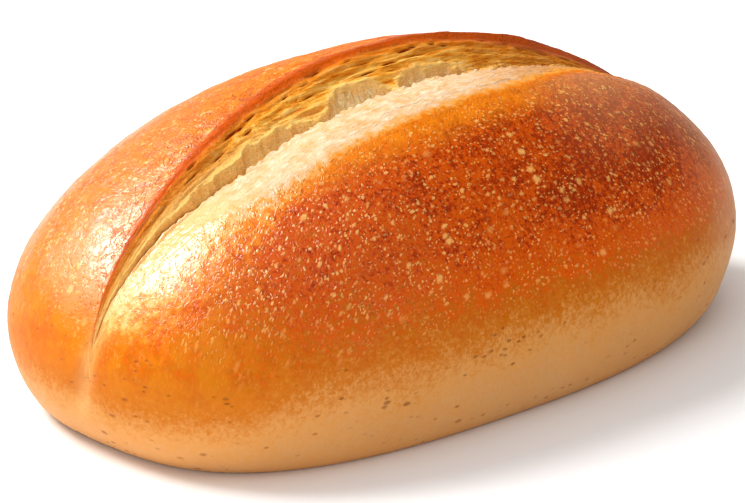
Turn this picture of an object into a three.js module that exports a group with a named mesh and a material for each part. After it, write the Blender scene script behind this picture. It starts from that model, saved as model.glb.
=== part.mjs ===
// A scored bread roll, baked as one piece: an oval loaf with a domed crown, a
// full waist, a flat base and one long slash along the top.
// Millimetres. +X runs along the roll, +Y across it towards the slash's raised
// lip, and +Z is up. The origin is the centre of the base.
import * as THREE from 'three';
import { mergeVertices } from 'three/addons/utils/BufferGeometryUtils.js';

// ---- The loaf -------------------------------------------------------------
const LENGTH = 130;
const HEIGHT = 49.4;         // top of the crown, before the slash is opened
const WAIST_HEIGHT = 13.5;   // where the loaf is widest
const NEAR_HALF_WIDTH = 36;  // from the ridge to the -Y side
const FAR_HALF_WIDTH = 43;   // from the ridge to the +Y side
const BASE_SHARE = 0.88;     // the flat base's outline, as a share of the waist's
const BOW = 2.3;             // how far both ends curl towards -Y

// Powers of the superellipses that give the outline and the section: 2 is an
// ellipse, and more is squarer.
const BLUNT_END_POWER = 2.65;    // outline of the -X half
const POINTED_END_POWER = 2.13;  // outline of the +X half
const CROWN_POWER = 1.86;        // section above the waist
const BELLY_POWER = 1.8;         // section from the flat base up to the waist

// ---- The slash along the top ----------------------------------------------
const LIP_OFFSET = 5.5;          // its three edges, measured from the ridge:
const CREASE_OFFSET = -2.5;      // the lip, the deepest line, and the edge
const CRUST_EDGE_OFFSET = -15.9; // where the open crumb meets the near crust
const SLASH_DEPTH = 4.8;
const SLASH_SKEW = 2;            // how far it turns off the ridge by each end
const LIP_RISE = 0.5;            // how far the lip stands above the crown
const LIP_BACK_WIDTH = 4;        // from the lip to where the crown's curve resumes
const SLASH_FADE_POWER = 2.5;    // the higher, the later the slash runs out
const SLASH_NARROWING_POWER = 0.8;
const SLOPE_POWER = 1.4;         // above 1, the crumb slope steepens inwards

// ---- Fineness of the surface ----------------------------------------------
const STATIONS = 48;             // slices along the roll
const BASE_STEPS = 3;            // steps across each stretch of half a slice
const BELLY_STEPS = 5;
const CROWN_STEPS = 9;
const SLOPE_STEPS = 4;
const WALL_STEPS = 3;
const LIP_BACK_STEPS = 2;
const KEEL_SHARE = 0.2;          // middle stretch of a slice clear of the floor

const HALF_LENGTH = LENGTH / 2;
const QUARTER_TURN = Math.PI / 2;

// Height of a unit superellipse's arc at the distance r from its middle.
function arc(r, power) {
  return (1 - Math.min(r, 1) ** power) ** (1 / power);
}

// Evenly spaced shares of a stretch, up to 1 and without its starting point.
function shares(steps) {
  return Array.from({ length: steps }, (_, i) => (i + 1) / steps);
}

// One slice across the roll. Its station is its share of the half length, from
// -1 at the blunt tip to 1 at the pointed one.
function sliceAt(station) {
  const power = station < 0 ? BLUNT_END_POWER : POINTED_END_POWER;
  const along = Math.abs(station);
  const fade = 1 - along ** SLASH_FADE_POWER;
  const halfWidth = (side) => (side < 0 ? NEAR_HALF_WIDTH : FAR_HALF_WIDTH);
  return {
    along,
    fade,
    // How far out of the outline's middle a point lies: 1 is the waist.
    reach: (y) => (along ** power + Math.abs(y / halfWidth(y)) ** power) ** (1 / power),
    // Where the reach is r, on the side -1 or 1.
    yAtReach: (r, side) =>
      side * halfWidth(side) * Math.max(r ** power - along ** power, 0) ** (1 / power),
    // Where one of the slash's lines crosses the slice.
    yOnSlash: (offset) => (offset + SLASH_SKEW * station) * fade ** SLASH_NARROWING_POWER,
  };
}

function crownHeight(slice, y) {
  return WAIST_HEIGHT + (HEIGHT - WAIST_HEIGHT) * arc(slice.reach(y), CROWN_POWER);
}

// Share of the way from the flat base's edge out to the waist.
function bellyShare(reach) {
  return Math.min(Math.max((reach - BASE_SHARE) / (1 - BASE_SHARE), 0), 1);
}

function bellyHeight(slice, y) {
  return WAIST_HEIGHT * (1 - arc(bellyShare(slice.reach(y)), BELLY_POWER));
}

// Each stretch below is a list of points [y, z] across one slice, starting just
// after the last point of the stretch before it.

// The edge of the flat base, or of a narrow keel where the slice clears the floor.
function baseEdge(slice, side) {
  return slice.along < BASE_SHARE
    ? slice.yAtReach(BASE_SHARE, side)
    : slice.yAtReach(1, side) * KEEL_SHARE;
}

function baseStretch(slice, side) {
  const edge = baseEdge(slice, side);
  return shares(BASE_STEPS).map((s) => [edge * s, bellyHeight(slice, edge * s)]);
}

// From the edge of the base round and up to the waist, in even turns.
function bellyStretch(slice, side) {
  const start = Math.asin(bellyShare(slice.reach(baseEdge(slice, side))));
  return shares(BELLY_STEPS).map((s) => {
    const turn = start + (QUARTER_TURN - start) * s;
    const y = slice.yAtReach(BASE_SHARE + (1 - BASE_SHARE) * Math.sin(turn), side);
    return [y, s === 1 ? WAIST_HEIGHT : bellyHeight(slice, y)];
  });
}

// From the waist up the crown to y = inner.
function crownStretch(slice, side, inner) {
  const waist = slice.yAtReach(1, side);
  return shares(CROWN_STEPS).map((s) => {
    const y = inner + (waist - inner) * Math.cos(QUARTER_TURN * s);
    return [y, crownHeight(slice, y)];
  });
}

// Down the open crumb, from the near crust's edge to the crease.
function slopeStretch(slice, edge, crease) {
  return shares(SLOPE_STEPS).map((s) => {
    const y = edge + (crease - edge) * s;
    return [y, crownHeight(slice, y) - SLASH_DEPTH * slice.fade * s ** SLOPE_POWER];
  });
}

// Up the torn wall, from the crease to the lip.
function wallStretch(slice, crease, lip) {
  return shares(WALL_STEPS).map((s) => {
    const y = crease + (lip - crease) * s;
    const drop = SLASH_DEPTH * (1 - s) - LIP_RISE * s;
    return [y, crownHeight(slice, y) - drop * slice.fade];
  });
}

// Behind the lip, down to the crown's own curve.
function lipBackStretch(slice, lip, back) {
  return shares(LIP_BACK_STEPS).map((s) => {
    const y = lip + (back - lip) * s;
    return [y, crownHeight(slice, y) + LIP_RISE * slice.fade * (1 - s) ** 2];
  });
}

// All the way round one slice: from the middle of the bottom up the near side,
// over the slash, down the far side and back to where it began.
function sliceOutline(station) {
  const slice = sliceAt(station);
  const edge = slice.yOnSlash(CRUST_EDGE_OFFSET);
  const crease = slice.yOnSlash(CREASE_OFFSET);
  const lip = slice.yOnSlash(LIP_OFFSET);
  const back = slice.yOnSlash(LIP_OFFSET + LIP_BACK_WIDTH);

  const bottom = [0, bellyHeight(slice, 0)];
  const farSide = [bottom, ...baseStretch(slice, 1), ...bellyStretch(slice, 1)];
  const farCrown = crownStretch(slice, 1, back).slice(0, -1);
  return [
    bottom,
    ...baseStretch(slice, -1),
    ...bellyStretch(slice, -1),
    ...crownStretch(slice, -1, edge),
    ...slopeStretch(slice, edge, crease),
    ...wallStretch(slice, crease, lip),
    ...lipBackStretch(slice, lip, back),
    ...farCrown.reverse(),
    ...farSide.reverse(),
  ];
}

// A sphere with its poles at the roll's two tips. Each ring of its points is
// laid on one slice, and the slices close up towards the tips.
function loafGeometry() {
  const around = sliceOutline(0).length;
  const geometry = new THREE.SphereGeometry(1, around - 1, STATIONS);
  const position = geometry.attributes.position;
  for (let ring = 0; ring <= STATIONS; ring++) {
    const station = -Math.cos((ring / STATIONS) * Math.PI);
    sliceOutline(station).forEach(([y, z], i) => {
      position.setXYZ(ring * around + i, HALF_LENGTH * station, y - BOW * station ** 2, z);
    });
  }
  geometry.deleteAttribute('normal');
  geometry.deleteAttribute('uv');
  return mergeVertices(geometry);
}

// Moves a geometry so that the origin is the middle of its bottom.
function standOnOrigin(geometry) {
  geometry.computeBoundingBox();
  const { min, max } = geometry.boundingBox;
  geometry.translate(-(min.x + max.x) / 2, -(min.y + max.y) / 2, -min.z);
  geometry.computeVertexNormals();
  return geometry;
}

const crust = new THREE.MeshStandardMaterial({ color: 0xc8702a, roughness: 0.45, metalness: 0 });
const roll = new THREE.Mesh(standOnOrigin(loafGeometry()), crust);
roll.name = 'bread_roll';

const group = new THREE.Group();
group.add(roll);

export default group;
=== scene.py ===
"""A scored bread roll: one baked piece, made as a dense mesh over the CAD loaf.

Shapes are worked out in millimetres in the frame's own axes (+X along the roll,
+Y across it towards the slash's raised lip, +Z up) and set down in metres.
"""

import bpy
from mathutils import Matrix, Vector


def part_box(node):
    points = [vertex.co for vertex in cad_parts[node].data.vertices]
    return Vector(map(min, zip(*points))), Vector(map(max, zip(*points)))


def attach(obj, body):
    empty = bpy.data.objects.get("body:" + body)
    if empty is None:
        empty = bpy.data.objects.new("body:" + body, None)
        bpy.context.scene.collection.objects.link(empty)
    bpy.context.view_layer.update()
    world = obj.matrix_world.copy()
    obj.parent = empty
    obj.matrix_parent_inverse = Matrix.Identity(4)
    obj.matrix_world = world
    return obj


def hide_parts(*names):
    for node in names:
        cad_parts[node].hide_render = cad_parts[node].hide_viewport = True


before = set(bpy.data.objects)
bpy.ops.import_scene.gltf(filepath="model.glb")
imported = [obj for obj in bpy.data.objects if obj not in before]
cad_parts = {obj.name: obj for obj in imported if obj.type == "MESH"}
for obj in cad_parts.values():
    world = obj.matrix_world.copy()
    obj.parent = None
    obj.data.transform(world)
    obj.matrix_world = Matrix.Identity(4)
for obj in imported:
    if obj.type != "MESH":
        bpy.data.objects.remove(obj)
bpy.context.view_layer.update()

import math

import bmesh
import bpy
import numpy as np
from mathutils import Vector, noise

MM = 0.001
NODE = "bread_roll"

# ---- The loaf, as the CAD has it -------------------------------------------
low, high = (np.array(corner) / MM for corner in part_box(NODE))
HALF_LENGTH = (high[0] - low[0]) / 2
NEAR_HALF_WIDTH = 36.0
FAR_HALF_WIDTH = (high[1] - low[1]) - NEAR_HALF_WIDTH
RIDGE_Y = low[1] + NEAR_HALF_WIDTH
LIP_RISE = 0.5
HEIGHT = high[2] - low[2]
WAIST_HEIGHT = 13.5
BASE_SHARE = 0.88
BOW = 2.3
BLUNT_END_POWER = 2.65
POINTED_END_POWER = 2.13
CROWN_POWER = 1.86
BELLY_POWER = 1.8

# ---- The slash -------------------------------------------------------------
LIP_OFFSET = 5.5
CREASE_OFFSET = -2.5
CRUST_EDGE_OFFSET = -15.9
SLASH_DEPTH = 4.8
SLASH_SKEW = 2.0
LIP_BACK_WIDTH = 4.0
SLASH_FADE_POWER = 2.5
SLASH_NARROWING_POWER = 0.8
SLOPE_POWER = 1.4
GAP_DEPTH = 1.3       # the narrow tear at the foot of the wall
GAP_HALF_WIDTH = 0.7
HOLLOW_DEPTH = 1.5    # the bubbles torn open along the wall's foot
HOLLOWS = [           # where each starts and ends along X, and its share of the wall
    (-46, -34, 0.22),
    (-36, -17, 0.34),
    (-18, -1, 0.46),
    (-2, 17, 0.44),
    (16, 31, 0.38),
]
PIT_COUNT = 34        # thin pits between the wall's torn layers
CREASE_SHIFTS = [     # how far the wall's foot moves in y, from one x to another
    (1.6, -34, -50),
    (-2.2, -32, -12),
    (-3.0, -2, 22),
    (-4.0, 18, 38),
]

# ---- The seam down the blunt end -------------------------------------------
SEAM_HEIGHTS = (5.4, 9.5, 14.0, 16.5, 20.8)     # its way down,
SEAM_SIDEWAYS = (4.3, 1.8, 0.4, 0.3, -0.9)      # as y at each z
SEAM_WIDTH = 1.7
SEAM_DEPTH = 0.4
SEAM_WRINKLES = 0.16

# ---- Fineness --------------------------------------------------------------
STATIONS = 560
COLUMNS = {           # in each stretch round the roll
    "base": 10,
    "belly": 18,
    "near_crown": 84,
    "slope": 48,
    "wall": 44,
    "back": 12,
    "far_crown": 74,
}
MAP_MARGIN = 1.5      # round the patches of the skin's map
BASE_PATCH_SCALE = 0.5

# ---- The camera ------------------------------------------------------------
CAMERA_AZIMUTH = -44.0
CAMERA_ELEVATION = 19.3
CAMERA_DISTANCE = 1.0               # metres
CAMERA_LENS = 310.7                 # mm on a 36 mm wide frame
AIM_HEIGHT_SHARE = 0.45             # of the roll's height
AIM_RIGHT, AIM_UP = -2.81, -4.87    # mm from there, as the camera sees it


def arc(r, power):
    """Height of a unit superellipse's arc at the distance r from its middle."""
    return (1 - np.minimum(r, 1) ** power) ** (1 / power)


def smooth(low_end, high_end, x):
    """0 below low_end, 1 above high_end, and a smooth step between."""
    s = np.clip((x - low_end) / (high_end - low_end), 0, 1)
    return s * s * (3 - 2 * s)


def steps(name):
    """The stretch's shares from just above 0 up to 1, as a row."""
    n = COLUMNS[name]
    return (np.arange(n)[None, :] + 1) / n


class Loaf:
    """The smooth loaf: a grid of stations along it by columns round it."""

    def __init__(self):
        self.t = -np.cos(np.linspace(0, math.pi, STATIONS + 1))[:, None]
        self.along = np.abs(self.t)
        self.power = np.where(self.t < 0, BLUNT_END_POWER, POINTED_END_POWER)
        self.fade = 1 - self.along ** SLASH_FADE_POWER
        self.narrowing = self.fade ** SLASH_NARROWING_POWER
        self.lay_columns()

    def reach(self, y):
        half = np.where(y < 0, NEAR_HALF_WIDTH, FAR_HALF_WIDTH)
        return (self.along ** self.power + np.abs(y / half) ** self.power) ** (1 / self.power)

    def y_at_reach(self, r, side):
        half = NEAR_HALF_WIDTH if side < 0 else FAR_HALF_WIDTH
        rest = np.maximum(r ** self.power - self.along ** self.power, 0)
        return side * half * rest ** (1 / self.power)

    def crown(self, y):
        return WAIST_HEIGHT + (HEIGHT - WAIST_HEIGHT) * arc(self.reach(y), CROWN_POWER)

    def belly(self, y):
        share = np.clip((self.reach(y) - BASE_SHARE) / (1 - BASE_SHARE), 0, 1)
        return WAIST_HEIGHT * (1 - arc(share, BELLY_POWER))

    def on_slash(self, offset):
        return (offset + SLASH_SKEW * self.t) * self.narrowing

    def base_edge(self, side):
        on_floor = self.along < BASE_SHARE
        return np.where(on_floor, self.y_at_reach(BASE_SHARE, side), 0.2 * self.y_at_reach(1, side))

    def side_stretches(self, side):
        """The base and the belly on one side, from the bottom's middle to the waist."""
        edge = self.base_edge(side)
        y_base = edge * steps("base")
        start = np.clip((self.reach(edge) - BASE_SHARE) / (1 - BASE_SHARE), 0, 1)
        turn = np.arcsin(start) + (math.pi / 2 - np.arcsin(start)) * steps("belly")
        y_belly = self.y_at_reach(BASE_SHARE + (1 - BASE_SHARE) * np.sin(turn), side)
        z_belly = self.belly(y_belly)
        z_belly[:, -1] = WAIST_HEIGHT
        return [(y_base, self.belly(y_base), "base"), (y_belly, z_belly, "belly")]

    def crown_stretch(self, side, inner, name):
        waist = self.y_at_reach(1, side)
        y = inner + (waist - inner) * np.cos(math.pi / 2 * steps(name))
        return y, self.crown(y), name

    def lay_columns(self):
        edge, crease, lip, back = (
            self.on_slash(offset)
            for offset in (CRUST_EDGE_OFFSET, CREASE_OFFSET, LIP_OFFSET, LIP_OFFSET + LIP_BACK_WIDTH)
        )
        bottom = np.zeros_like(self.t)
        s_slope = np.sin(math.pi / 2 * steps("slope"))
        y_slope = edge + (crease - edge) * s_slope
        z_slope = self.crown(y_slope) - SLASH_DEPTH * self.fade * s_slope ** SLOPE_POWER
        s_wall = steps("wall")
        y_wall = crease + (lip - crease) * s_wall
        drop = SLASH_DEPTH * (1 - s_wall) - LIP_RISE * s_wall
        z_wall = self.crown(y_wall) - drop * self.fade
        s_back = steps("back")
        y_back = lip + (back - lip) * s_back
        z_back = self.crown(y_back) + LIP_RISE * self.fade * (1 - s_back) ** 2

        y_far, z_far, _ = self.crown_stretch(1, back, "far_crown")
        (y_fb, z_fb, _), (y_fw, z_fw, _) = self.side_stretches(1)
        stretches = [(bottom, self.belly(bottom), "base")]
        stretches += self.side_stretches(-1)
        stretches += [
            self.crown_stretch(-1, edge, "near_crown"),
            (y_slope, z_slope, "slope"),
            (y_wall, z_wall, "wall"),
            (y_back, z_back, "back"),
            (y_far[:, -2::-1], z_far[:, -2::-1], "far_crown"),
            (y_fw[:, ::-1], z_fw[:, ::-1], "belly"),
            (y_fb[:, ::-1], z_fb[:, ::-1], "base"),
        ]
        self.y = np.concatenate([y for y, _, _ in stretches], axis=1)
        self.z = np.concatenate([z for _, z, _ in stretches], axis=1)
        self.name = np.concatenate([[name] * y.shape[1] for y, _, name in stretches])
        self.x = HALF_LENGTH * np.broadcast_to(self.t, self.y.shape)
        self.edge, self.crease, self.lip = edge, crease, lip

    def points(self):
        y = self.y - BOW * self.t ** 2 + RIDGE_Y
        return np.stack([self.x, y, self.z], axis=-1)


def field(points, size, seed, octaves=2, stretch=(1, 1, 1)):
    """Smooth noise from about -1 to 1, with lumps of the given size in mm."""
    at = points.reshape(-1, 3) / (size * np.array(stretch)) + 31.7 * seed
    values = [noise.fractal(p, 1.0, 2.0, octaves) for p in at.tolist()]
    return np.array(values).reshape(points.shape[:-1])


def normals_of(points):
    """Outward normals of the grid; the columns close on themselves."""
    across = np.roll(points, -1, axis=1) - np.roll(points, 1, axis=1)
    along = np.gradient(points, axis=0)
    n = np.cross(along, across)
    length = np.linalg.norm(n, axis=-1, keepdims=True)
    n = n / np.maximum(length, 1e-9)
    n[0], n[-1] = (-1, 0, 0), (1, 0, 0)
    return n


# ---- Sculpting -------------------------------------------------------------
TOP_STRETCHES = ["near_crown", "slope", "wall", "back", "far_crown"]
FAR_OFF = 99


def slash_coordinates(loaf):
    """Where each point lies across the slash, in the middle station's mm. Off
    the top of the roll it is a large number."""
    across = loaf.y / np.maximum(loaf.narrowing, 0.02) - SLASH_SKEW * loaf.t
    on_top = np.isin(loaf.name, TOP_STRETCHES)[None, :]
    return np.where(on_top, across, np.where(loaf.y > 0, FAR_OFF, -FAR_OFF))


def along_noise(loaf, size, seed, octaves=2):
    """Noise that changes only along the roll, one value a station."""
    stations = np.zeros((STATIONS + 1, 1, 3))
    stations[:, 0, 0] = loaf.x[:, 0]
    return field(stations, size, seed, octaves)


def ridge(distance, width):
    """A rounded ridge's height, 1 on its line and about 0 past twice its width."""
    return np.exp(-((distance / width) ** 2))


def wall_pits(loaf, across):
    """Long narrow hollows between the wall's torn layers."""
    rng = np.random.default_rng(11)
    depth = np.zeros_like(loaf.y)
    for centre in np.linspace(-46, 44, PIT_COUNT):
        x0 = centre + rng.uniform(-3.5, 3.5)
        w0 = LIP_OFFSET - rng.uniform(1.0, 4.4)
        long, wide = rng.uniform(0.6, 2.3), rng.uniform(0.08, 0.22)
        slope = rng.uniform(-0.05, 0.05)
        away = ((loaf.x - x0) / long) ** 2 + ((across - w0 - slope * (loaf.x - x0)) / wide) ** 2
        depth = np.maximum(depth, np.exp(-away))
    return depth


def hollow_tops(loaf):
    """How far up the wall the torn bubbles reach at each station."""
    tops = np.full_like(loaf.t, 0.14)
    for start, end, share in HOLLOWS:
        u = (2 * loaf.x[:, :1] - start - end) / (end - start)
        tops = np.maximum(tops, share * np.clip(1 - u ** 2, 0, 1) ** 0.7)
    return tops


def wall_foot(loaf, across):
    """The line of the tear at the wall's foot, and each point's distance across
    from the tear's ragged near edge."""
    crease = np.full(loaf.x.shape, CREASE_OFFSET)
    for shift, start, end in CREASE_SHIFTS:
        crease = crease + shift * smooth(start, end, loaf.x)
    ragged = 0.45 * along_noise(loaf, 1.1, 1) + 0.5 * along_noise(loaf, 5.0, 2)
    return crease, across - (crease + ragged)


def shape_tear(loaf, from_crease):
    """The narrow gap at the wall's foot, sharp on the crumb's side."""
    gap = np.where(from_crease < 0, ridge(from_crease, 0.3), ridge(from_crease, GAP_HALF_WIDTH))
    return gap * smooth(34, 16, loaf.x)


def shape_wall(loaf, across, crease, from_crease):
    """Torn layers over a row of open bubbles, up to the baked rim: where the
    wall is, its lift, and its masks."""
    x = loaf.x
    in_wall = smooth(-0.3, 0.5, from_crease) * smooth(LIP_OFFSET + 0.5, LIP_OFFSET - 0.3, across)
    share = (across - crease) / (LIP_OFFSET - crease)
    tops = hollow_tops(loaf) + 0.12 * along_noise(loaf, 4.0, 4) + 0.05 * along_noise(loaf, 1.2, 3)
    upper = smooth(tops - 0.06, tops + 0.09, share) * in_wall
    up_hollow = np.clip(share / np.maximum(tops, 0.05), 0, 1)
    hollow = (1 - upper) * (0.45 + 0.55 * np.sin(math.pi * up_hollow)) * smooth(0.13, 0.30, tops)
    ribbon = ridge(share - tops - 0.06, 0.06) * in_wall
    rim_start = 0.85 - 0.09 * smooth(0, 36, x)
    rim = smooth(rim_start, rim_start + 0.10, share) * smooth(1.25, 1.0, share)
    layers = field(np.stack([x / 9, across / 0.8, 0 * x], -1), 1, 5, 3)
    threads = field(np.stack([x / 0.9, across / 2, 0 * x], -1), 1, 6, 3)
    pits = wall_pits(loaf, across) * upper * (1 - rim)
    torn = 0.35 * layers * upper * (1 - rim) + 0.12 * threads * (1 - upper)
    lift = (torn - HOLLOW_DEPTH * hollow + 0.30 * ribbon) * in_wall - 0.6 * pits
    return in_wall, lift, {
        "wall": in_wall * (1 - rim),
        "upper": upper,
        "rim": rim * (share < 1.3),
        "pit": pits,
        "ribbon": ribbon,
        "up_wall": np.clip(share, 0, 1),
    }


def shape_slope(loaf, points, across, from_crease):
    """The crumb slope, soft, with faint streaks along it and tufts on its inner
    edge: where it is and its lift."""
    x = loaf.x
    in_slope = smooth(CRUST_EDGE_OFFSET - 1, CRUST_EDGE_OFFSET + 4, across) * smooth(0.2, -0.4, from_crease)
    streaks = field(np.stack([x / 6, across / 1.2, 0 * x], -1), 1, 7, 3)
    fluff = field(points, 1.1, 8, 3)
    tufts = field(np.stack([x / 0.8, across / 2.5, 0 * x], -1), 1, 21, 2)
    lift = (0.16 * streaks + 0.14 * fluff) * in_slope
    inner_edge = ridge(from_crease + 0.7, 0.6)
    lift += (0.25 + 0.45 * tufts) * inner_edge * smooth(-48, -38, x) * smooth(34, 20, x)
    return in_slope, lift


def shape_end_seam(loaf, points):
    """A faint seam from the slash down the blunt end: its mask and its lift."""
    seam_y = np.interp(loaf.z, SEAM_HEIGHTS, SEAM_SIDEWAYS)
    seam = ridge(loaf.y - seam_y, SEAM_WIDTH) * smooth(-58, -62, loaf.x)
    seam = seam * smooth(3, 8, loaf.z) * smooth(26, 20, loaf.z)
    wrinkles = field(points, 0.9, 15, 2, stretch=(1, 0.5, 3))
    return seam, SEAM_WRINKLES * wrinkles * smooth(0.1, 0.6, seam) - seam * SEAM_DEPTH


def pale_band(loaf, from_crease):
    """How far inside the crust's cut edge each point lies, as a share of the
    edge's softness. The band is wide and soft at the blunt end, and the baked
    ends of the slope aren't in it."""
    softness = 2.6 + 6 * smooth(-0.5, -0.85, loaf.t)
    blunt_edge = 1.03 * CRUST_EDGE_OFFSET * np.sqrt(1 - loaf.along ** 8)
    edge = np.where(loaf.t < 0, np.minimum(loaf.edge, blunt_edge), loaf.edge)
    edge = edge + 2.5 * smooth(8, 34, loaf.x)
    pale = np.clip((loaf.y - edge) / softness, -3, 3)
    pale = np.where((from_crease > 1.5) | (loaf.y > 0), -3, pale) - 3 * smooth(0.10, 0.0, loaf.fade)
    return pale - 5 * smooth(14, 5, loaf.z)


def sculpt(loaf):
    """The baked surface: the smooth loaf's points moved, with one mask for each
    kind of surface."""
    points = loaf.points()
    across = slash_coordinates(loaf)
    crease, from_crease = wall_foot(loaf, across)
    gap = shape_tear(loaf, from_crease)
    in_wall, wall_lift, masks = shape_wall(loaf, across, crease, from_crease)
    in_slope, slope_lift = shape_slope(loaf, points, across, from_crease)
    seam, seam_lift = shape_end_seam(loaf, points)

    # Broad lumps everywhere, and a fine skin on the crust alone.
    crust = 1 - np.maximum(in_slope, in_wall)
    lumps = 0.32 * field(points, 22, 9, 2) + 0.14 * field(points, 7, 10, 2)
    skin = 0.06 * field(points, 1.8, 12, 3)
    lift = lumps + (skin * crust + slope_lift + wall_lift) * np.minimum(loaf.fade * 3, 1)
    lift = lift - GAP_DEPTH * gap * np.minimum(loaf.fade * 1.6, 1) + seam_lift
    above_floor = smooth(0, 5, loaf.z)
    moved = points + normals_of(points) * (lift * above_floor)[..., None]

    # The lip wanders a little.
    near_lip = ridge(across - LIP_OFFSET, 2.2) * loaf.fade
    sway = 0.5 * along_noise(loaf, 11, 13) + 0.35 * along_noise(loaf, 2.6, 14)
    moved[..., 1] += sway * near_lip
    moved[..., 2] = np.maximum(moved[..., 2], 0)
    for tip in (0, -1):
        moved[tip] = moved[tip].mean(axis=0)

    along_skin, round_skin = skin_distances(loaf)
    masks.update({
        "crumb": in_slope * smooth(-52, -38, loaf.x) * smooth(44, 34, loaf.x),
        "pale": pale_band(loaf, from_crease),
        "gap": gap * loaf.fade,
        "along_skin": along_skin,
        "round_skin": round_skin,
        "across": across,
        "seam": seam,
    })
    return moved, masks


# ---- The mesh --------------------------------------------------------------
def quads_of(rows, columns):
    """The grid's faces, closed round the columns."""
    row = np.arange(rows - 1)[:, None]
    column = np.arange(columns)[None, :]
    after = (column + 1) % columns
    corners = [row * columns + column, (row + 1) * columns + column]
    corners += [(row + 1) * columns + after, row * columns + after]
    return np.stack(corners, axis=-1).reshape(-1, 4)


def skin_distances(loaf):
    """Each point's distance in mm along the lip, and round the roll from it."""
    points = loaf.points()
    lip = int(np.argmax(loaf.name == "back")) - 1
    steps_round = np.linalg.norm(np.diff(points, axis=1), axis=-1)
    v = np.concatenate([np.zeros((len(points), 1)), np.cumsum(steps_round, axis=1)], axis=1)
    v = v - v[:, lip:lip + 1]
    steps_along = np.linalg.norm(np.diff(points[:, lip], axis=0), axis=-1)
    u = np.concatenate([[0], np.cumsum(steps_along)])[:, None] + 0 * v
    return u, v


def skin_map(loaf):
    """A map of the skin with little stretch. Its top patch lays out the
    distances over the skin, and the base has a smaller patch beside it. Both
    have one place per grid point."""
    points = loaf.points()
    u, v = skin_distances(loaf)
    base = loaf.name == "base"
    top = np.stack([u, v], axis=-1)
    top_low = top[:, ~base].reshape(-1, 2).min(axis=0)
    top_high = top[:, ~base].reshape(-1, 2).max(axis=0)
    patch = points[..., :2] * BASE_PATCH_SCALE
    patch_low = patch[:, base].reshape(-1, 2).min(axis=0)
    patch_high = patch[:, base].reshape(-1, 2).max(axis=0)
    top_place = top - top_low
    patch_place = patch - patch_low + [0, top_high[1] - top_low[1] + MAP_MARGIN]
    side = max(top_high[0] - top_low[0], patch_place[:, base].reshape(-1, 2).max(axis=0)[1])
    scale = 1 / (side + 2 * MAP_MARGIN)
    return (top_place + MAP_MARGIN) * scale, (patch_place + MAP_MARGIN) * scale


def make_mesh(loaf, points, masks):
    """One closed mesh of the roll: the two tips are single points."""
    rows, columns = points.shape[:2]
    top_map, base_map = skin_map(loaf)
    quads = quads_of(rows, columns)
    column_of_face = quads[:, 0] % columns
    base = loaf.name == "base"
    face_on_base = base[column_of_face] & base[(column_of_face + 1) % columns]

    mesh = bpy.data.meshes.new("bread_roll_skin")
    mesh.from_pydata((points.reshape(-1, 3) * MM).tolist(), [], quads.tolist())
    layer = mesh.uv_layers.new(name="OFBake")
    on_base, on_top = (places.reshape(-1, 2)[quads] for places in (base_map, top_map))
    flat = np.where(face_on_base[:, None, None], on_base, on_top)
    layer.data.foreach_set("uv", flat.astype(np.float32).ravel())
    for name, values in masks.items():
        mask = mesh.attributes.new(name, "FLOAT", "POINT")
        mask.data.foreach_set("value", np.ascontiguousarray(values, dtype=np.float32).ravel())

    sculpted = bmesh.new()
    sculpted.from_mesh(mesh)
    sculpted.verts.ensure_lookup_table()
    tips = sculpted.verts[:columns] + sculpted.verts[-columns:]
    bmesh.ops.remove_doubles(sculpted, verts=tips, dist=1e-9)
    sculpted.to_mesh(mesh)
    sculpted.free()
    mesh.shade_smooth()
    return mesh


# ---- Materials -------------------------------------------------------------
def linear(red, green, blue):
    """A display colour, 0 to 255 a channel, as the shader's linear colour."""
    parts = [c / 255 for c in (red, green, blue)]
    return tuple(c / 12.92 if c <= 0.04045 else ((c + 0.055) / 1.055) ** 2.4 for c in parts) + (1,)


CRUST_COLOURS = [     # from the pale sides to the darkest top, by crust_level
    (0.00, linear(214, 158, 100)),
    (0.20, linear(218, 150, 78)),
    (0.38, linear(200, 112, 22)),
    (0.54, linear(196, 94, 4)),
    (0.70, linear(218, 88, 1)),
    (0.85, linear(206, 75, 2)),
    (1.00, linear(158, 45, 2)),
]
BLISTER_KINDS = [     # cell size in mm, most reach in cells, share of cells without one
    (3.2, 0.17, 0.62),
    (1.6, 0.20, 0.40),
    (0.95, 0.24, 0.35),
    (0.55, 0.27, 0.25),
]
GLOW_TINT = linear(244, 136, 14)
BLUNT_END_TINT = linear(214, 124, 8)
# Paler crust towards the pointed end, partly a painted sheen of grazing light
POINTED_END_PALE_SHEEN_TINT = linear(222, 166, 118)
# A painted sheen: pale pinkish tan on the top towards the pointed end
POINTED_TOP_SHEEN_TINT = linear(226, 162, 112)
BLISTER_TINT = linear(255, 186, 98)
PORE_TINT = linear(136, 66, 22)
CRACK_TINT = linear(186, 66, 4)
DIMPLE_TINT = linear(150, 60, 8)
SEAM_TINT = linear(244, 188, 120)

CRUMB_LIGHT_TINT = linear(228, 194, 156)
CRUMB_DARK_TINT = linear(218, 168, 112)
FIBRE_LIGHT_TINT = linear(244, 230, 204)
FIBRE_DARK_TINT = linear(222, 158, 84)
# Pale baked skin at the slope's blunt end, made lighter partly as a painted highlight
CRUMB_BLUNT_END_PALE_HIGHLIGHT_TINT = linear(244, 184, 112)
CRUMB_POINTED_END_TINT = linear(196, 128, 62)
CRUMB_EDGES = [       # bands between the crust and the crumb: where each starts and is full
    (-0.45, 0.20, linear(230, 120, 10)),
    (0.0, 0.60, linear(238, 156, 58)),
]

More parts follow.
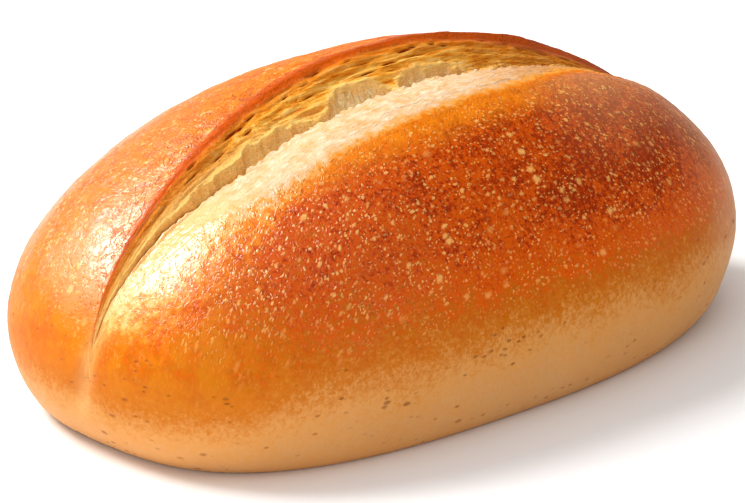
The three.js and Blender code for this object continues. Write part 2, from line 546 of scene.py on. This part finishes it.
WALL_LAYERS = [
    (0.34, linear(196, 92, 14)),
    (0.44, linear(230, 140, 32)),
    (0.54, linear(244, 178, 70)),
    (0.68, linear(252, 216, 136)),
]
WALL_TOP_TINT = linear(216, 104, 10)
BUBBLE_DARK_TINT = linear(226, 184, 118)
BUBBLE_LIGHT_TINT = linear(250, 226, 176)
RIBBON_TINT = linear(250, 214, 130)
PIT_TINT = linear(150, 52, 6)
# The wall darker towards the pointed end: partly darker crumb, partly painted shade
WALL_POINTED_END_SHADE_TINT = linear(186, 98, 16)
WALL_BLUNT_END_TINT = linear(196, 104, 34)
WALL_LOWER_LEFT_TINT = linear(244, 196, 112)
RIM_TINT = linear(192, 78, 6)
RIM_POINTED_END_TINT = linear(166, 66, 4)
# Painted shade in the tear at the wall's foot
GAP_SHADE_TINT = linear(214, 164, 84)


class Paint:
    """Short names for the nodes a material is built from. Each call adds a node
    or a few and returns their output; sizes are in mm."""

    def __init__(self, material):
        material.use_nodes = True
        self.tree = material.node_tree
        self.tree.nodes.clear()
        place = self.node("ShaderNodeTexCoord").outputs["Object"]
        scaled = self.node("ShaderNodeVectorMath", {0: place, "Scale": 1 / MM}, operation="SCALE")
        self.at = scaled.outputs["Vector"]

    def node(self, kind, inputs=None, **settings):
        node = self.tree.nodes.new(kind)
        for name, value in settings.items():
            setattr(node, name, value)
        for name, value in (inputs or {}).items():
            if isinstance(value, bpy.types.NodeSocket):
                self.tree.links.new(value, node.inputs[name])
            else:
                node.inputs[name].default_value = value
        return node

    def mask(self, name):
        return self.node("ShaderNodeAttribute", attribute_name=name).outputs["Fac"]

    def math(self, operation, a, b=0.0):
        return self.node("ShaderNodeMath", {0: a, 1: b}, operation=operation).outputs[0]

    def times(self, first, *others):
        for other in others:
            first = self.math("MULTIPLY", first, other)
        return first

    def plus(self, first, *others):
        for other in others:
            first = self.math("ADD", first, other)
        return first

    def step(self, x, low_end, high_end, to_low=0.0, to_high=1.0):
        """x carried smoothly from one range to another."""
        inputs = {
            "Value": x,
            "From Min": low_end,
            "From Max": high_end,
            "To Min": to_low,
            "To Max": to_high,
        }
        return self.node("ShaderNodeMapRange", inputs, interpolation_type="SMOOTHSTEP").outputs["Result"]

    def stretched(self, x, y, z):
        inputs = {0: self.at, 1: (1 / x, 1 / y, 1 / z)}
        return self.node("ShaderNodeVectorMath", inputs, operation="MULTIPLY").outputs["Vector"]

    def noise(self, size, detail, distortion=0.0, at=None):
        return self.node("ShaderNodeTexNoise", {
            "Vector": at or self.at,
            "Scale": 1 / size,
            "Detail": detail,
            "Distortion": distortion,
            "Roughness": 0.55,
        }).outputs["Fac"]

    def spots(self, size, at, channel, fewest, least, most, softness, flat=True):
        """Round spots, one to a cell: their cover, and each cell's random number.
        A spot's reach, in cell sizes, is least up to the number fewest and grows
        from there to most. One with a reach well below 0 doesn't show."""
        cells = self.node(
            "ShaderNodeTexVoronoi", {"Vector": at, "Scale": 1 / size},
            feature="F1", voronoi_dimensions="2D" if flat else "3D",
        )
        chance = self.node("ShaderNodeSeparateColor", {"Color": cells.outputs["Color"]}).outputs[channel]
        reach = self.step(chance, fewest, 1.0, least, most)
        inside = self.math("SUBTRACT", cells.outputs["Distance"], reach)
        return self.step(inside, *softness), chance

    def mix(self, share, a, b):
        node = self.node("ShaderNodeMix", {"Factor": share}, data_type="RGBA")
        colour_in = [s for s in node.inputs if s.type == "RGBA"]
        for socket, value in zip(colour_in, (a, b)):
            if isinstance(value, bpy.types.NodeSocket):
                self.tree.links.new(value, socket)
            else:
                socket.default_value = value
        return [s for s in node.outputs if s.type == "RGBA"][0]

    def ramp(self, x, stops):
        node = self.node("ShaderNodeValToRGB", {"Fac": x})
        elements = node.color_ramp.elements
        while len(elements) < len(stops):
            elements.new(1.0)
        for element, (place, colour) in zip(elements, stops):
            element.position = place
            element.color = colour
        return node.outputs["Color"]

    def blend(self, share, a, b):
        """A plain number between a and b."""
        return self.node("ShaderNodeMix", {0: share, 2: a, 3: b}).outputs[0]

    def bump(self, height, distance):
        inputs = {"Height": height, "Distance": distance * MM, "Strength": 1.0}
        return self.node("ShaderNodeBump", inputs).outputs["Normal"]


def crust_level(paint, x, z):
    """How darkly the crust is baked, 0 to 1: more on top and to the pointed
    end, and lower down on the blunt end. Only the sides are as pale as tan."""
    raised = paint.plus(z, paint.step(x, -42, -62, 0, 7))
    level = paint.plus(
        paint.step(raised, 3, 33, 0.10, 0.86),
        paint.step(x, -40, 30, -0.06, 0.10),
        paint.step(x, -46, -62, 0, -0.12),
        paint.times(paint.step(x, -35, 5, 0.05, -0.12), paint.step(z, 27, 13)),
    )
    more_on_top = paint.step(z, 8, 30, 0.35, 1.0)
    for size, detail, amount in ((13, 2, 0.05), (4.5, 2, 0.06), (0.9, 3, 0.12), (0.4, 1, 0.08)):
        swing = paint.step(paint.noise(size, detail), 0.32, 0.68, -amount, amount)
        level = paint.plus(level, paint.times(swing, more_on_top))
    return paint.math("MAXIMUM", level, paint.step(raised, 12, 30, 0.0, 0.52))


def glow_cover(paint, x, z):
    """Where the crust is a lighter orange: beside the crumb and behind the lip."""
    across = paint.mask("across")
    beside_crumb = paint.times(
        paint.step(across, -22, -16.5, 0, 0.9),
        paint.step(x, 6, 34, 1.0, 0.3),
        paint.step(across, 0, 4, 1, 0),
    )
    behind_lip = paint.times(paint.step(across, 6, 9, 0, 0.7), paint.step(x, 42, -6))
    patches = paint.step(paint.noise(2.2, 3), 0.30, 0.60, 0.45, 1.0)
    on_top = paint.times(patches, paint.step(z, 16, 30))
    return paint.times(paint.math("MAXIMUM", beside_crumb, behind_lip), on_top)


def blunt_end_cover(paint, x, z):
    """Where the blunt end is golden, in patches."""
    patches = paint.step(paint.noise(5, 3), 0.35, 0.62, 0.15, 1.0)
    place = paint.times(paint.step(z, 8, 18), paint.step(x, -42, -60, 0, 0.75))
    return paint.times(patches, place)


def blister_cover(paint, z):
    """Pale blisters of four sizes, in loose crowds over the top. They are laid
    out on the skin itself, so that each one shows whole."""
    on_skin = paint.node("ShaderNodeCombineXYZ", {
        "X": paint.times(paint.mask("along_skin"), 0.75),
        "Y": paint.mask("round_skin"),
    }).outputs["Vector"]
    wobble = paint.node("ShaderNodeTexNoise", {0: paint.at, "Scale": 1.8, "Detail": 1})
    shift = paint.node("ShaderNodeVectorMath", {
        0: wobble.outputs["Color"], 1: (0.6, 0.6, 0.0), 2: on_skin,
    }, operation="MULTIPLY_ADD").outputs["Vector"]
    crowd = paint.step(paint.noise(6, 2), 0.36, 0.58, 0.3, 1.0)
    cover = 0.0
    for size, most, fewest in BLISTER_KINDS:
        spot, chance = paint.spots(size, shift, "Red", fewest, -0.05, most, (0.08, -0.09))
        strength = paint.step(chance, fewest, 1.0, 0.55, 1.0)
        cover = paint.math("MAXIMUM", cover, paint.times(spot, strength))
    return paint.times(cover, crowd, paint.step(z, 12, 30))


def side_pores(paint, z):
    """Small dark pores in the paler sides, longer than they are tall."""
    flattened = paint.stretched(1.7, 1.7, 0.8)
    cover = 0.0
    for size, most in ((2.0, 0.22), (1.1, 0.24)):
        pore, _ = paint.spots(size, flattened, "Green", 0.50, -0.06, most, (0.05, -0.07), flat=False)
        cover = paint.math("MAXIMUM", cover, pore)
    crowd = paint.step(paint.noise(9, 2), 0.40, 0.60, 0.25, 1.0)
    return paint.times(cover, crowd, paint.step(z, 26, 14))


def lip_cracks(paint, z):
    """Fine cracks along the crust behind the lip."""
    wander = paint.noise(1.0, 3, 0.5, paint.stretched(6, 1.8, 1.8))
    crack = paint.step(paint.math("ABSOLUTE", paint.math("SUBTRACT", wander, 0.5)), 0.025, 0.0)
    across = paint.mask("across")
    near_lip = paint.times(paint.step(across, 4, 6), paint.step(across, 22, 10))
    return paint.times(crack, near_lip, paint.step(z, 18, 30))


def dimples(paint, z):
    """Tiny pits all over the crust's top, laid out on the skin."""
    on_skin = paint.node("ShaderNodeCombineXYZ", {
        "X": paint.mask("along_skin"),
        "Y": paint.mask("round_skin"),
    }).outputs["Vector"]
    pits, _ = paint.spots(0.9, on_skin, "Blue", 0.35, -0.05, 0.26, (0.08, -0.08))
    return paint.times(pits, paint.step(z, 12, 24))


def wrinkle_relief(paint, z):
    """Fine sunken lines on the top, in mm."""
    from_wrinkle = paint.math("ABSOLUTE", paint.math("SUBTRACT", paint.noise(2.0, 3, 0.8), 0.5))
    return paint.times(paint.step(from_wrinkle, 0.0, 0.05, -0.05, 0.0), paint.step(z, 14, 28))


def crust_paint(paint, x, z):
    """The crust's colour and its relief in mm."""
    blisters = blister_cover(paint, z)
    pores = side_pores(paint, z)
    cracks = lip_cracks(paint, z)
    pits = dimples(paint, z)
    # Painted sheen on the top past the crumb's pointed end
    pointed_top_sheen = paint.times(paint.step(x, 8, 34, 0, 0.45), paint.step(z, 30, 44))
    colour = paint.ramp(crust_level(paint, x, z), CRUST_COLOURS)
    for cover, tint in (
        (glow_cover(paint, x, z), GLOW_TINT),
        (blunt_end_cover(paint, x, z), BLUNT_END_TINT),
        # The pointed end: lighter crust, and partly painted sheen
        (paint.step(x, 34, 64, 0, 0.7), POINTED_END_PALE_SHEEN_TINT),
        (pointed_top_sheen, POINTED_TOP_SHEEN_TINT),
        (paint.times(blisters, 0.85), BLISTER_TINT),
        (paint.times(pores, 0.65), PORE_TINT),
        (paint.times(cracks, 0.6), CRACK_TINT),
        (paint.times(pits, 0.16), DIMPLE_TINT),
    ):
        colour = paint.mix(cover, colour, tint)
    relief = paint.plus(
        paint.times(paint.noise(2.2, 4), 0.16),
        paint.times(paint.noise(0.45, 2, 0.6), 0.05),
        paint.times(pits, -0.07),
        wrinkle_relief(paint, z),
        paint.times(blisters, 0.10),
        paint.times(pores, -0.12),
        paint.times(cracks, -0.15),
    )
    return colour, relief


def crumb_paint(paint, x):
    """The open crumb's cream, warmer at the slash's two ends, and its relief."""
    cream = paint.mix(paint.step(paint.noise(2.4, 3), 0.35, 0.7), CRUMB_LIGHT_TINT, CRUMB_DARK_TINT)
    fibres = paint.noise(0.8, 4, 0.6, paint.stretched(2.2, 0.8, 0.8))
    cream = paint.mix(paint.step(fibres, 0.52, 0.70, 0, 0.5), cream, FIBRE_LIGHT_TINT)
    cream = paint.mix(paint.step(fibres, 0.46, 0.34, 0, 0.35), cream, FIBRE_DARK_TINT)
    # The slope's blunt end: pale baked skin, lightened partly as painted highlight
    cream = paint.mix(paint.step(x, -36, -52), cream, CRUMB_BLUNT_END_PALE_HIGHLIGHT_TINT)
    cream = paint.mix(paint.step(x, 2, 28, 0, 0.85), cream, CRUMB_POINTED_END_TINT)
    return cream, paint.times(fibres, 0.42)


def wall_paint(paint, x):
    """The torn wall: golden layers above, open pale bubbles below."""
    up_wall = paint.mask("up_wall")
    layers = paint.noise(1.0, 4, 0.4, paint.stretched(6, 0.8, 0.8))
    strands = paint.noise(1.0, 3, 0.3, paint.stretched(3, 0.35, 0.35))
    layers = paint.plus(paint.times(layers, 0.5), paint.times(strands, 0.5))
    golden = paint.ramp(layers, WALL_LAYERS)
    golden = paint.mix(paint.step(up_wall, 0.60, 0.90, 0, 0.7), golden, WALL_TOP_TINT)
    threads = paint.noise(1.0, 4, 0.8, paint.stretched(0.5, 1.2, 1.2))
    pale = paint.mix(paint.step(threads, 0.36, 0.66), BUBBLE_DARK_TINT, BUBBLE_LIGHT_TINT)
    colour = paint.mix(paint.mask("upper"), pale, golden)
    lower_left = paint.times(paint.step(up_wall, 0.65, 0.25), paint.step(x, -10, -34, 0, 0.85))
    for cover, tint in (
        (paint.times(paint.mask("ribbon"), 0.6), RIBBON_TINT),
        (paint.step(paint.mask("pit"), 0.25, 0.7), PIT_TINT),
        # Darker towards the pointed end, partly as painted shade
        (paint.step(x, 0, 34, 0, 0.6), WALL_POINTED_END_SHADE_TINT),
        (paint.step(x, -26, -44, 0, 0.65), WALL_BLUNT_END_TINT),
        (lower_left, WALL_LOWER_LEFT_TINT),
    ):
        colour = paint.mix(cover, colour, tint)
    return colour, paint.plus(paint.times(layers, 0.9), paint.times(threads, 0.3))


def roll_colour(paint, x, crust, crumb, wall):
    """The three colours put together where the masks say, with a flecked edge
    between the crust and the crumb."""
    flecks = paint.step(paint.noise(1.3, 4), 0.3, 0.7, -1.0, 1.0)
    edge = paint.plus(paint.mask("pale"), paint.times(flecks, paint.step(x, -16, -44, 0.22, 0.42)))
    colour = crust
    for low_end, high_end, tint in CRUMB_EDGES + [(0.30, 1.10, crumb)]:
        colour = paint.mix(paint.step(edge, low_end, high_end), colour, tint)
    colour = paint.mix(paint.mask("wall"), colour, wall)
    rim = paint.mix(paint.step(x, -5, 30, 0, 0.8), RIM_TINT, RIM_POINTED_END_TINT)
    colour = paint.mix(paint.mask("rim"), colour, rim)
    # Painted shade darkens the tear at the wall's foot
    colour = paint.mix(paint.times(paint.mask("gap"), 0.6), colour, GAP_SHADE_TINT)
    return paint.mix(paint.times(paint.mask("seam"), 0.40), colour, SEAM_TINT)


def baked_material():
    """The whole roll's skin, with each kind of surface where its mask says. The
    crust's gloss is a clear coat, most on top at the blunt end."""
    material = bpy.data.materials.new("baked_roll")
    paint = Paint(material)
    spot = paint.node("ShaderNodeSeparateXYZ", {0: paint.at})
    x, z = spot.outputs["X"], spot.outputs["Z"]
    crust, crust_relief = crust_paint(paint, x, z)
    crumb, crumb_relief = crumb_paint(paint, x)
    wall, wall_relief = wall_paint(paint, x)
    colour = roll_colour(paint, x, crust, crumb, wall)
    relief = paint.blend(paint.mask("crumb"), crust_relief, crumb_relief)
    relief = paint.blend(paint.mask("wall"), relief, wall_relief)

    open_crumb = paint.math("MAXIMUM", paint.mask("crumb"), paint.mask("wall"))
    gloss = paint.times(
        paint.step(open_crumb, 0.0, 0.8, 0.62, 0.0),
        paint.step(z, 16, 32, 0.10, 1.0),
        paint.step(paint.mask("rim"), 0.1, 0.8, 1.0, 0.05),
        paint.step(x, -38, -8, 1.0, 0.1),
    )
    unevenness = paint.step(paint.noise(1.1, 3), 0.3, 0.7, -0.06, 0.08)
    rough = paint.plus(paint.step(open_crumb, 0.1, 0.9, 0.42, 0.80), unevenness)
    shader = paint.node("ShaderNodeBsdfPrincipled", {
        "Base Color": colour,
        "Roughness": rough,
        "Specular IOR Level": 0.03,
        "Normal": paint.bump(relief, 1.0),
        "Coat Normal": paint.bump(relief, 0.6),
        "Coat Weight": gloss,
        "Coat Roughness": 0.24,
        "Coat IOR": 2.0,
        "Subsurface Weight": 0.05,
        "Subsurface Radius": (1.0, 0.45, 0.12),
        "Subsurface Scale": 0.0015,
    })
    paint.node("ShaderNodeOutputMaterial", {"Surface": shader.outputs[0]})
    return material


def floor_material():
    material = bpy.data.materials.new("pale_floor")
    paint = Paint(material)
    tone = paint.mix(paint.noise(40, 2), linear(250, 250, 249), linear(246, 246, 246))
    shader = paint.node("ShaderNodeBsdfPrincipled", {"Base Color": tone, "Roughness": 0.9})
    paint.node("ShaderNodeOutputMaterial", {"Surface": shader.outputs[0]})
    return material


# ---- The scene -------------------------------------------------------------
FLOOR_HALF = 6.0      # metres
WORLD_STRENGTH = 0.42


def make_roll():
    loaf = Loaf()
    points, masks = sculpt(loaf)
    roll = bpy.data.objects.new("bread_roll_skin", make_mesh(loaf, points, masks))
    bpy.context.collection.objects.link(roll)
    roll.data.materials.append(baked_material())
    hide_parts(NODE)
    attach(roll, "root")
    return roll


def make_floor():
    mesh = bpy.data.meshes.new("floor")
    half = FLOOR_HALF
    corners = [(-half, -half, 0), (half, -half, 0), (half, half, 0), (-half, half, 0)]
    mesh.from_pydata(corners, [], [(0, 1, 2, 3)])
    floor = bpy.data.objects.new("floor", mesh)
    bpy.context.collection.objects.link(floor)
    mesh.materials.append(floor_material())


def towards(azimuth, elevation):
    """The unit vector from the roll to a place seen at that angle from it:
    azimuth 0 is the -Y side and 90 the +X end."""
    a, e = math.radians(azimuth), math.radians(elevation)
    return Vector((math.sin(a) * math.cos(e), -math.cos(a) * math.cos(e), math.sin(e)))


def aim(thing, place, target):
    thing.location = place
    thing.rotation_euler = (target - place).to_track_quat("-Z", "Y").to_euler()


def make_camera():
    """A long lens at the usual product angle, over the roll's blunt end."""
    camera = bpy.data.objects.new("camera", bpy.data.cameras.new("camera"))
    bpy.context.collection.objects.link(camera)
    middle = Vector((0, RIDGE_Y, AIM_HEIGHT_SHARE * HEIGHT)) * MM
    back = towards(CAMERA_AZIMUTH, CAMERA_ELEVATION)
    right = Vector((0, 0, 1)).cross(back).normalized()
    up = back.cross(right)
    target = middle + right * (AIM_RIGHT * MM) + up * (AIM_UP * MM)
    aim(camera, middle + back * CAMERA_DISTANCE, target)
    camera.data.lens = CAMERA_LENS
    camera.data.clip_end = 50
    bpy.context.scene.camera = camera


def soft_light(name, direction, distance, width, height, power, lights=True, shines=True):
    """A lamp that lights the roll's colours, shines in its gloss, or both. Its
    distance and size are in metres and its power in watts."""
    lamp = bpy.data.lights.new(name, "AREA")
    lamp.shape = "RECTANGLE"
    lamp.size, lamp.size_y = width, height
    lamp.energy = power
    light = bpy.data.objects.new(name, lamp)
    bpy.context.collection.objects.link(light)
    centre = Vector((0, 0, HEIGHT * MM / 2))
    aim(light, centre + direction * distance, centre)
    light.visible_diffuse = lights
    light.visible_glossy = shines
    light.visible_camera = False


def make_lights():
    """The overhead and front lamps and the world don't shine in the crust, so
    that the front keeps its deep colour."""
    soft_light("key", towards(-153, 48), 0.9, 0.42, 0.38, 9.5)
    soft_light("glaze", towards(-150, 40), 0.9, 0.70, 0.85, 6.5, lights=False)
    soft_light("backdrop", towards(136, 8), 1.2, 1.6, 0.8, 1.3)
    soft_light("overhead", towards(-120, 78), 1.1, 1.5, 1.5, 4.5, shines=False)
    soft_light("front_fill", towards(-58, 16), 1.3, 0.9, 0.7, 5.0, shines=False)
    world = bpy.data.worlds.new("studio")
    world.use_nodes = True
    background = world.node_tree.nodes["Background"]
    background.inputs["Color"].default_value = (1, 1, 1, 1)
    background.inputs["Strength"].default_value = WORLD_STRENGTH
    world.cycles_visibility.glossy = False
    bpy.context.scene.world = world


make_roll()
make_floor()
make_camera()
make_lights()
bpy.context.scene.view_settings.view_transform = "Standard"
